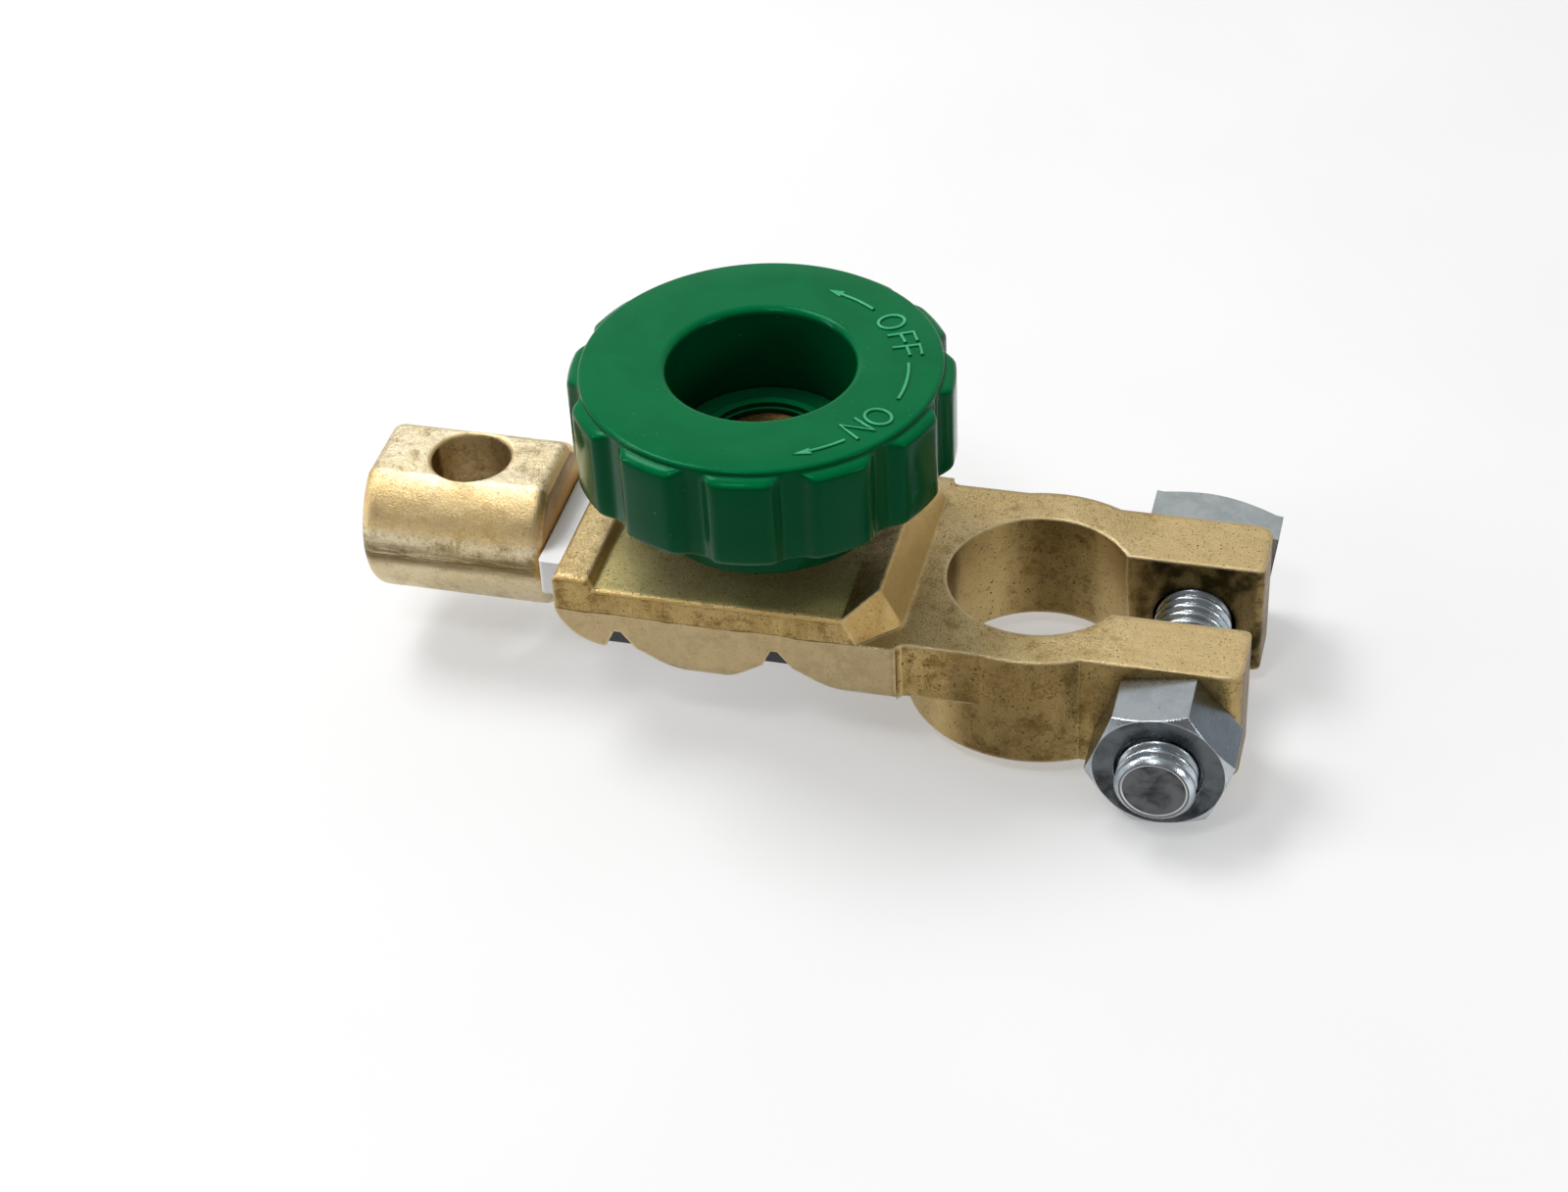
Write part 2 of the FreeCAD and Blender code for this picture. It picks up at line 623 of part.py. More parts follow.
def make_cable_terminal():
    """Barrel with two flats and a cross hole, and a flat tongue with shoulders."""
    body = new_body("cable_terminal")
    sketch = new_sketch(body, "barrel_end", "YZ_Plane", "-barrel_far")
    draw_circle(sketch, "0", "-barrel_drop", "barrel_radius")
    pad(body, sketch, "barrel", "barrel_far - barrel_near")
    sketch = new_sketch(body, "flat_ends", "YZ_Plane", "-barrel_far")
    side = "barrel_radius + 1"
    for low, high in (
            ("barrel_flat - barrel_drop", "barrel_radius + 1"),
            ("-(barrel_radius + 1 + barrel_drop)", "-(barrel_flat + barrel_drop)")):
        draw_rectangle(sketch, f"-({side})", side, low, high)
    barrel = pocket(body, sketch, "barrel_flats", "barrel_far - barrel_near", reverse=True)

    def end_edge(edge):
        return edge.BoundBox.XLength < 0.02
    barrel = dress(body, barrel, "Fillet", "barrel_rounds", "barrel_round", end_edge)
    sketch = new_sketch(body, "tongue_plan", "XY_Plane", "tongue_bottom")
    draw_polygon(sketch, [
        ("-(barrel_near + 2)", "-tongue_neck_half"),
        ("-tongue_shoulder", "-tongue_neck_half"),
        ("-tongue_shoulder", "-tongue_half_width"),
        ("tongue_near", "-tongue_half_width"),
        ("tongue_near", "tongue_half_width"),
        ("-tongue_shoulder", "tongue_half_width"),
        ("-tongue_shoulder", "tongue_neck_half"),
        ("-(barrel_near + 2)", "tongue_neck_half"),
    ])
    pad(body, sketch, "tongue", "tongue_thickness")
    sketch = new_sketch(body, "cable_hole_side", "XZ_Plane")
    middle = "-cable_hole_reach"
    wall = "-cable_hole_reach + cable_hole_radius"
    mouth = f"{wall} + cable_hole_chamfer + 1"
    top = "barrel_flat - barrel_drop"
    bottom = "-(barrel_flat + barrel_drop)"
    draw_polygon(sketch, [
        (middle, f"{top} + 1"),
        (mouth, f"{top} + 1"),
        (wall, f"{top} - cable_hole_chamfer"),
        (wall, f"{bottom} + cable_hole_chamfer"),
        (mouth, f"{bottom} - 1"),
        (middle, f"{bottom} - 1"),
    ])
    axis = Part.LineSegment(FreeCAD.Vector(number(middle), 0, 0), FreeCAD.Vector(number(middle), 1, 0))
    line = sketch.addGeometry(axis, True)
    tie(sketch, "DistanceX", line, 1, middle)
    sketch.addConstraint(Sketcher.Constraint("PointOnObject", line, 1, -1))
    sketch.addConstraint(Sketcher.Constraint("Vertical", line))
    sketch.addConstraint(Sketcher.Constraint("DistanceY", line, 1, line, 2, 1.0))
    spin(body, sketch, "cable_hole", "Axis0", cut=True)
    return body


# The insulators

def make_insulator_tray():
    """Nylon channel over the tongue, open below, with a hole for the stud."""
    body = new_body("insulator_tray")
    sketch = new_sketch(body, "tray_plan", "XY_Plane", "-sleeve_bottom")
    draw_rectangle(sketch, "-sleeve_far", "-sleeve_near", "-sleeve_half_width", "sleeve_half_width")
    pad(body, sketch, "tray", "sleeve_top + sleeve_bottom")
    sketch = new_sketch(body, "tray_inside_plan", "XY_Plane", "sleeve_top - sleeve_wall")
    inner = "sleeve_half_width - sleeve_wall"
    shoulder = "-(tongue_shoulder + fit_gap)"
    near_end = "-(sleeve_near + sleeve_wall)"
    far_end = "-(sleeve_far + 1)"
    draw_polygon(sketch, [
        (far_end, "-tray_neck_half"),
        (shoulder, "-tray_neck_half"),
        (shoulder, f"-({inner})"),
        (near_end, f"-({inner})"),
        (near_end, inner),
        (shoulder, inner),
        (shoulder, "tray_neck_half"),
        (far_end, "tray_neck_half"),
    ])
    pocket(body, sketch, "tray_inside", "sleeve_top - sleeve_wall + sleeve_bottom")
    sketch = new_sketch(body, "tray_hole_plan", "XY_Plane", "sleeve_top + 1")
    draw_circle(sketch, "-knob_reach", "0", "stud_radius + 0.5")
    hole = pocket(body, sketch, "tray_hole", "sleeve_wall + 1.5")
    far = -number("sleeve_far")

    def outer_end(edge):
        box = edge.BoundBox
        at_side = near(abs(box.YMin), number("sleeve_half_width")) and box.YLength < 0.02
        return at_side and box.ZLength > 1 and near(box.XMin, far)
    dress(body, hole, "Fillet", "tray_corners", "sleeve_wall / 2", outer_end)
    return body


def make_insulator_floor():
    """Nylon plate under the tongue, with a raised land that closes the tray from below."""
    body = new_body("insulator_floor")
    sketch = new_sketch(body, "floor_plan", "XY_Plane", "floor_bottom")
    near_end = "cavity_near - fit_gap"
    draw_rectangle(sketch, "floor_far", near_end, "-floor_half_width", "floor_half_width")
    pad(body, sketch, "floor_plate", "-floor_bottom - sleeve_bottom")
    sketch = new_sketch(body, "floor_land_plan", "XY_Plane", "-sleeve_bottom")
    inner = "sleeve_half_width - sleeve_wall - fit_gap"
    draw_polygon(sketch, [
        ("-sleeve_far", "-tongue_neck_half"),
        ("-tongue_shoulder", "-tongue_neck_half"),
        ("-tongue_shoulder", f"-({inner})"),
        ("-(sleeve_near + sleeve_wall + fit_gap)", f"-({inner})"),
        ("-(sleeve_near + sleeve_wall + fit_gap)", inner),
        ("-tongue_shoulder", inner),
        ("-tongue_shoulder", "tongue_neck_half"),
        ("-sleeve_far", "tongue_neck_half"),
    ])
    pad(body, sketch, "floor_land", "tongue_bottom + sleeve_bottom")
    return body


# The knob and its stud

def make_knob():
    """Lobed shell round a hub that reaches lower, with ribs between them and a recess on top."""
    body = new_body("knob")
    sketch = new_sketch(body, "knob_section", "XZ_Plane")
    draw_polygon(sketch, [
        ("stud_neck_radius + fit_gap", "0"),
        ("hub_radius", "0"),
        ("hub_radius", "knob_height - hollow_top"),
        ("shell_inside", "knob_height - hollow_top"),
        ("shell_inside", "shell_bottom"),
        ("lobe_radius", "shell_bottom"),
        ("lobe_radius", "knob_height - lobe_shoulder"),
        ("knob_radius", "knob_height - lobe_shoulder"),
        ("knob_radius", "knob_height"),
        ("recess_radius", "knob_height"),
        ("recess_radius", "recess_floor"),
        ("ring_radius + ring_width", "recess_floor"),
        ("ring_radius + ring_width", "recess_floor + ring_height"),
        ("ring_radius", "recess_floor + ring_height"),
        ("ring_radius", "recess_floor"),
        ("stud_head_radius + head_gap", "recess_floor"),
        ("stud_head_radius + head_gap", "head_seat"),
        ("stud_neck_radius + fit_gap", "head_seat"),
    ])
    knob = spin(body, sketch, "knob_turned", "V_Axis")
    lobes = number("lobe_radius")
    low = number("shell_bottom")
    high = number("knob_height - lobe_shoulder")

    def lobe_ring(edge):
        return ring_at(edge, lobes, low) or ring_at(edge, lobes, high)
    knob = dress(body, knob, "Fillet", "lobe_edges", "lobe_edge", lobe_ring)

    def recess_rim(edge):
        return ring_at(edge, number("recess_radius"), number("knob_height"))
    knob = dress(body, knob, "Fillet", "recess_rim", "recess_round", recess_rim)

    def top_rim(edge):
        return ring_at(edge, number("knob_radius"), number("knob_height"))
    knob = dress(body, knob, "Fillet", "top_rim", "lobe_shoulder / 2", top_rim)

    def hub_edge(edge):
        return ring_at(edge, number("hub_radius"), 0)
    dress(body, knob, "Fillet", "hub_edge", "hub_round", hub_edge)
    cut_valleys(body)
    add_ribs(body)
    place(body, "-knob_reach", "0", "knob_seat", turn="lobe_phase + 180 / lobe_count")
    return body


def cut_valleys(body):
    """Valleys between the lobes. Their mouths flare with the rounding of the lobes' edges."""
    sketch = new_sketch(body, "valley_plan", "XY_Plane")
    floor = "knob_radius - fit_gap"
    turn = "lobe_radius - valley_round"
    mouth = "valley_half + valley_round"
    outside = "lobe_radius + 1"
    lower = draw_arc(
        sketch, (turn, f"-({mouth})"), "valley_round", 0, 90,
        ("DistanceY", f"-({mouth})"), ("DistanceX", turn))
    upper = draw_arc(
        sketch, (turn, mouth), "valley_round", 270, 360,
        ("DistanceX", turn), ("DistanceY", mouth))
    first, last = draw_lines(sketch, [
        (turn, "valley_half"), (floor, "valley_half"), (floor, "-valley_half"), (turn, "-valley_half")])
    join(sketch, upper, 1, first, 1)
    join(sketch, last, 2, lower, 2)
    first, last = draw_lines(sketch, [
        ("lobe_radius", f"-({mouth})"), (outside, f"-({mouth})"), (outside, mouth), ("lobe_radius", mouth)])
    join(sketch, lower, 1, first, 1)
    join(sketch, last, 2, upper, 2)
    valley = pocket(body, sketch, "valley", "knob_height + 1", reverse=True)
    polar(body, valley, "valleys", "lobe_count")


def add_ribs(body):
    """Ribs between the hub and the shell."""
    foot = "shell_bottom + rib_setback"
    sketch = new_sketch(body, "rib_plan", "XY_Plane", foot)
    draw_rectangle(sketch, "hub_radius - 0.5", "shell_inside + 0.5", "-rib_width / 2", "rib_width / 2")
    rib = pad(body, sketch, "rib", f"knob_height - hollow_top - ({foot})")
    polar(body, rib, "ribs", "rib_count")


def make_knob_stud():
    """Turned brass stud: head, neck through the knob, threaded shank and contact tip."""
    body = new_body("knob_stud")
    sketch = new_sketch(body, "stud_section", "XZ_Plane")
    draw_polygon(sketch, [
        ("0", "stud_tip"),
        ("stud_radius - stud_tip_chamfer", "stud_tip"),
        ("stud_radius", "stud_tip + stud_tip_chamfer"),
        ("stud_radius", "0"),
        ("stud_neck_radius", "0"),
        ("stud_neck_radius", "head_seat"),
        ("stud_head_radius", "head_seat"),
        ("stud_head_radius", "head_seat + stud_head_height"),
        ("0", "head_seat + stud_head_height"),
    ])
    stud = spin(body, sketch, "stud_turned", "V_Axis")

    def head_rim(edge):
        return ring_at(edge, number("stud_head_radius"), number("head_seat + stud_head_height"))
    dress(body, stud, "Fillet", "head_rim", "stud_head_height / 3", head_rim)
    place(body, "-knob_reach", "0", "knob_seat")
    return body


# The clamp bolt and its nut

def chamfer_corners(body, name, width, base, chamfer, direction):
    """Turn away the corners of a head or nut towards its free face."""
    sketch = new_sketch(body, name + "_side", "YZ_Plane")
    rim = f"{width} / 2"
    slope = f"{chamfer} / tan(30)"
    free = f"{direction} * ({base})"
    draw_polygon(sketch, [
        (free, rim),
        (f"{direction} * ({base} - {chamfer})", f"{rim} + {slope}"),
        (f"{direction} * ({base} - {chamfer})", f"{rim} + {slope} + 5"),
        (f"{direction} * ({base} + 1)", f"{rim} + {slope} + 5"),
        (f"{direction} * ({base} + 1)", rim),
    ])
    spin(body, sketch, name, "H_Axis", cut=True)


def make_clamp_bolt():
    """Square-headed bolt, its head against the back ear and its end towards the front."""
    body = new_body("clamp_bolt")
    sketch = new_sketch(body, "head_square", "XZ_Plane")
    half = "head_width / 2"
    draw_rectangle(sketch, f"-{half}", half, f"-{half}", half)
    pad(body, sketch, "square_head", "head_height", reverse=True)
    chamfer_corners(body, "head_corners", "head_width", "head_height", "head_chamfer", "1")
    sketch = new_sketch(body, "shank_round", "XZ_Plane")
    draw_circle(sketch, "0", "0", "bolt_radius")
    shank = pad(body, sketch, "shank", "2 * ear_half_width + bolt_end")

    def shank_end(edge):
        return near(edge.BoundBox.YMin, -number("2 * ear_half_width + bolt_end"))
    dress(body, shank, "Chamfer", "shank_end", "bolt_chamfer", shank_end)
    place(body, "bolt_reach", "ear_half_width", "-bolt_drop", axis=(0, 1, 0), turn="head_turn")
    return body


def make_clamp_nut():
    """Hexagon nut, seated on the front ear."""
    body = new_body("clamp_nut")
    sketch = new_sketch(body, "nut_hexagon", "XZ_Plane")
    corner = "nut_width / 2 / cos(30)"
    corners = []
    for angle in range(0, 360, 60):
        corners.append((f"{corner} * cos({angle})", f"{corner} * sin({angle})"))
    draw_polygon(sketch, corners)
    pad(body, sketch, "hexagon", "nut_height")
    chamfer_corners(body, "nut_corners", "nut_width", "nut_height", "nut_chamfer", "-1")
    sketch = new_sketch(body, "nut_bore_round", "XZ_Plane")
    draw_circle(sketch, "0", "0", "bolt_radius + fit_gap")
    nut = pocket(body, sketch, "nut_bore", reverse=True)

    bore = number("bolt_radius + fit_gap")

    def bore_mouth(edge):
        on_face = near(edge.BoundBox.YMin, -number("nut_height")) and edge.BoundBox.YLength < 0.02
        return on_face and isinstance(edge.Curve, Part.Circle) and near(edge.Curve.Radius, bore)
    dress(body, nut, "Chamfer", "bore_mouth", "bolt_chamfer / 2", bore_mouth)
    place(body, "bolt_reach", "-ear_half_width", "-bolt_drop", axis=(0, -1, 0), turn="nut_turn")
    return body


NODES = [
    make_clamp_body(),
    make_cable_terminal(),
    make_insulator_tray(),
    make_insulator_floor(),
    make_knob(),
    make_knob_stud(),
    make_clamp_bolt(),
    make_clamp_nut(),
]
doc.recompute()

for item in doc.Objects:
    if "Invalid" in item.State or "Error" in item.State:
        raise RuntimeError(f"{item.Label} failed: {item.State}")
for node in NODES:
    if node.Shape.isNull() or not node.Shape.isValid():
        raise RuntimeError(f"{node.Label} has no valid shape")
for node in NODES:
    node.Shape.exportStep(f"parts/{node.Label}.step")
    print(f"{node.Label}: {len(node.Shape.Solids)} solid, {node.Shape.Volume:.0f} mm3")
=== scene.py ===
import math

import bmesh
import bpy
from mathutils import Matrix, Vector


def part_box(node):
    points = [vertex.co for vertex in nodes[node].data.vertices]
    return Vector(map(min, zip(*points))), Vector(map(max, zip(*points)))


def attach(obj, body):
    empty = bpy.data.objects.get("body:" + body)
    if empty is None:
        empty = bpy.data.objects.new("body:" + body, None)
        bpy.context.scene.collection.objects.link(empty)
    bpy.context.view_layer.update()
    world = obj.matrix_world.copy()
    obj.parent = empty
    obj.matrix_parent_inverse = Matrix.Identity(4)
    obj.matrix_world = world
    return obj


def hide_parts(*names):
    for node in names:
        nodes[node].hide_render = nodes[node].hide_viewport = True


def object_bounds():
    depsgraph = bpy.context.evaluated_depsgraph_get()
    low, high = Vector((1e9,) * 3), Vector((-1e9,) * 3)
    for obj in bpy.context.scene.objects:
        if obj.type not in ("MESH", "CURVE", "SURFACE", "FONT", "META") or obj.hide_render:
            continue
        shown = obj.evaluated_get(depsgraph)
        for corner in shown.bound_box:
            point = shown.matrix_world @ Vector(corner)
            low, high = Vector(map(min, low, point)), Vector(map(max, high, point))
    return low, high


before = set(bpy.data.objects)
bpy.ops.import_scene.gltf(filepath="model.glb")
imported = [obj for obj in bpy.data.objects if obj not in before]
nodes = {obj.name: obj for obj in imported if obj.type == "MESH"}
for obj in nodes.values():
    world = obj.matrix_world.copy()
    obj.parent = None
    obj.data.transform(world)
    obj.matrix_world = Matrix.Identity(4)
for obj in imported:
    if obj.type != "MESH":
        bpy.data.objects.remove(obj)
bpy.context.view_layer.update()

MM = 0.001

# Places in the part's frame, in millimetres
KNOB_AXIS_X = -28.0
KNOB_TOP = 22.6
STUD_SHOULDER = 5.6
ROOF_TOP = 2.9
BOLT_AXIS_X = 15.15
BOLT_AXIS_Z = -7.4
HEAD_SEAT = 12.3

scene = bpy.context.scene
scene.view_settings.view_transform = "Standard"


# Camera of the photograph

def add_camera():
    azimuth, elevation, roll = (math.radians(angle) for angle in (16.296, 38.926, -3.329))
    back = Vector((
        math.sin(azimuth) * math.cos(elevation),
        -math.cos(azimuth) * math.cos(elevation),
        math.sin(elevation),
    ))
    level_right = Vector((math.cos(azimuth), math.sin(azimuth), 0))
    level_up = back.cross(level_right)
    right = math.cos(roll) * level_right + math.sin(roll) * level_up
    up = math.cos(roll) * level_up - math.sin(roll) * level_right
    image_width = 1600
    focal_length = 3199.8
    data = bpy.data.cameras.new("camera")
    data.sensor_width = 36
    data.lens = focal_length / image_width * data.sensor_width
    data.clip_start = 0.01
    camera = bpy.data.objects.new("camera", data)
    turned = Matrix((right, up, back)).transposed().to_4x4()
    camera.matrix_world = Matrix.Translation(Vector((44.32, -243.95, 198.43)) * MM) @ turned
    scene.collection.objects.link(camera)
    scene.camera = camera


add_camera()


# Materials, made of nodes

def colour(red, green, blue):
    """A screen colour, 0 to 255, as the shader wants it."""
    parts = [part / 255 for part in (red, green, blue)]
    linear = [part / 12.92 if part <= 0.04045 else ((part + 0.055) / 1.055) ** 2.4 for part in parts]
    return (*linear, 1)


class Paint:
    """A material and the means to wire its nodes. Textures are measured in millimetres."""

    def __init__(self, name):
        self.material = bpy.data.materials.new(name)
        self.material.use_nodes = True
        self.tree = self.material.node_tree
        self.shader = self.tree.nodes["Principled BSDF"]
        place = self.add("TexCoord").outputs["Object"]
        self.place = self.add("VectorMath", {0: place, "Scale": 1000}, operation="SCALE").outputs[0]
        self.tint = None

    def add(self, kind, inputs=None, **settings):
        """Add a node. Each input is a value, or the socket that it is linked from."""
        made = self.tree.nodes.new("ShaderNode" + kind)
        for name, value in settings.items():
            setattr(made, name, value)
        for key, value in (inputs or {}).items():
            if isinstance(value, bpy.types.NodeSocket):
                self.tree.links.new(value, made.inputs[key])
            else:
                made.inputs[key].default_value = value
        return made

    def math(self, operation, *values):
        return self.add("Math", dict(enumerate(values)), operation=operation).outputs[0]

    def times(self, first, *others):
        """The product of all."""
        for other in others:
            first = self.math("MULTIPLY", first, other)
        return first

    def size(self, value):
        """The value without its sign."""
        return self.math("ABSOLUTE", value)

    def spread(self, value, low, high, to_low=0.0, to_high=1.0):
        """Map low..high to to_low..to_high, smoothly and clamped."""
        inputs = {"Value": value, "From Min": low, "From Max": high, "To Min": to_low, "To Max": to_high}
        return self.add("MapRange", inputs, interpolation_type="SMOOTHSTEP").outputs["Result"]

    def noise(self, scale, detail=2.0, roughness=0.5, distortion=0.0, place=None):
        inputs = {
            "Vector": place or self.place,
            "Scale": scale,
            "Detail": detail,
            "Roughness": roughness,
            "Distortion": distortion,
        }
        return self.add("TexNoise", inputs).outputs["Fac"]

    def stretched(self, *factors):
        """Places scaled by a factor in each direction, for streaks."""
        return self.add("VectorMath", {0: self.place, 1: factors}, operation="MULTIPLY").outputs[0]

    def axes(self):
        """The place in the part's frame, split into three."""
        return self.add("SeparateXYZ", {0: self.place}).outputs[:3]

    def facing(self):
        """The surface's own direction in the part's frame, split into three."""
        turned = self.add(
            "VectorTransform", {0: self.add("NewGeometry").outputs["Normal"]},
            vector_type="NORMAL", convert_from="WORLD", convert_to="OBJECT")
        return self.add("SeparateXYZ", {0: turned.outputs[0]}).outputs[:3]

    def rounded(self, radius):
        """Normal with the sharp edges rounded, and how strong the rounding is at each point."""
        soft = self.add("Bevel", {"Radius": radius * MM}, samples=6).outputs[0]
        plain = self.add("NewGeometry").outputs["Normal"]
        meet = self.add("VectorMath", {0: soft, 1: plain}, operation="DOT_PRODUCT").outputs["Value"]
        return soft, self.spread(meet, 0.97, 0.8)

    def hollow(self, distance):
        """One in the open, less in corners and holes."""
        return self.add("AmbientOcclusion", {"Distance": distance * MM}, samples=8).outputs["AO"]

    def bump(self, height, depth, normal):
        """Relief of the given depth in millimetres, on top of a normal."""
        return self.add("Bump", {"Height": height, "Distance": depth * MM, "Normal": normal}).outputs[0]

    def blend(self, share, first, second):
        """Mix two colours."""
        return self.add("Mix", {0: share, 6: first, 7: second}, data_type="RGBA").outputs[2]

    def coat(self, share, tint):
        """Lay a colour over what is there."""
        self.tint = self.blend(share, self.tint, tint)

    def set(self, **inputs):
        """Set or link the shader's own sockets, named with underscores."""
        for key, value in inputs.items():
            socket = self.shader.inputs[key.replace("_", " ")]
            if isinstance(value, bpy.types.NodeSocket):
                self.tree.links.new(value, socket)
            else:
                socket.default_value = value


def lay_metal(paint, light, dark):
    """Cloudy metal with stains, mottling and a fine glint. Gives the stains and the mottling back."""
    clouds = paint.noise(0.13, detail=5, roughness=0.6)
    paint.tint = paint.blend(paint.spread(clouds, 0.35, 0.65), dark, light)
    stain = paint.noise(0.35, detail=6, roughness=0.7)
    paint.coat(paint.spread(stain, 0.5, 0.68, 0, 0.7), colour(138, 110, 58))
    mottle = paint.noise(1.6, detail=4, roughness=0.7)
    paint.coat(paint.spread(mottle, 0.5, 0.7, 0, 0.5), colour(150, 122, 70))
    glint = paint.noise(7.0)
    paint.coat(paint.spread(glint, 0.54, 0.66, 0, 0.4), colour(255, 242, 204))
    paint.coat(paint.spread(glint, 0.46, 0.34, 0, 0.3), colour(110, 84, 42))
    return stain, mottle


def lay_sides(paint, upright, side_shade_and_tarnish):
    """Sides darkened by painted shade and browned by patina, with runs and patches."""
    # painted shade, with some patina: the upright sides darker and browner
    paint.coat(paint.times(upright, side_shade_and_tarnish), colour(136, 108, 52))
    runs = paint.noise(0.2, detail=4, roughness=0.6, place=paint.stretched(1.0, 1.0, 0.3))
    dark_runs = paint.spread(runs, 0.5, 0.66, 0, 0.5 * side_shade_and_tarnish)
    paint.coat(paint.times(upright, dark_runs), colour(96, 72, 28))
    light_runs = paint.spread(runs, 0.44, 0.34, 0, 0.4 * side_shade_and_tarnish)
    paint.coat(paint.times(upright, light_runs), colour(214, 188, 124))
    patches = paint.noise(0.45, detail=6, roughness=0.75)
    paint.coat(paint.times(upright, paint.spread(patches, 0.5, 0.62, 0, side_shade_and_tarnish)), colour(108, 82, 38))


def lay_collar_reflections(paint, across, side_x, upright):
    """Painted reflections on the collar: dark where it faces forward and bright beside that. Faces that
    look to the right get painted shade.
    """
    from_post = paint.size(across)
    turned_away = paint.size(side_x)
    forward = paint.times(
        upright, paint.spread(from_post, 7.5, 5.5), paint.spread(turned_away, 0.45, 0.1, 0, 0.45))
    paint.coat(forward, colour(84, 64, 24))
    beside = paint.times(
        upright, paint.spread(from_post, 14.0, 13.0), paint.spread(turned_away, 0.35, 0.6, 0, 0.6))
    paint.coat(beside, colour(232, 206, 142))
    # painted shade on the faces that look to the right
    toward_right = paint.times(upright, paint.spread(side_x, 0.93, 0.99))
    paint.coat(paint.times(toward_right, 0.85), colour(112, 84, 38))


def lay_parting(paint, across, up, side_z, level, end, scuffing):
    """A parting line at a level, with a paler surface below it and scuffs beside it.

    It fades out before the end across. Gives the surface below and the line itself back.
    """
    wander = paint.spread(paint.noise(0.25, detail=3), 0, 1, -0.18, 0.18)
    above_line = paint.math("ADD", paint.math("SUBTRACT", up, level), wander)
    on_side = paint.spread(paint.size(side_z), 0.75, 0.45)
    in_reach = paint.spread(across, end, end - 1.0)
    below = paint.times(paint.spread(above_line, 0.1, -0.1), in_reach)
    paint.coat(paint.times(below, 0.6), colour(188, 170, 134))
    thickness = paint.spread(paint.noise(0.6, detail=4), 0.4, 0.7, 0.04, 0.13)
    line = paint.times(paint.math("LESS_THAN", paint.size(above_line), thickness), on_side, in_reach)
    paint.coat(paint.times(line, 0.75), colour(96, 72, 38))
    scuffs = paint.noise(0.7, detail=4, roughness=0.7, place=paint.stretched(0.15, 1.0, 1.6))
    scuffs = paint.times(paint.spread(scuffs, 0.3, 0.55, 0.45, 1.0), on_side)
    from_line = paint.size(paint.math("SUBTRACT", above_line, 0.2))
    paint.coat(paint.times(scuffs, paint.spread(from_line, 2.0, 0.4, 0, scuffing)), colour(92, 72, 34))
    return below, line


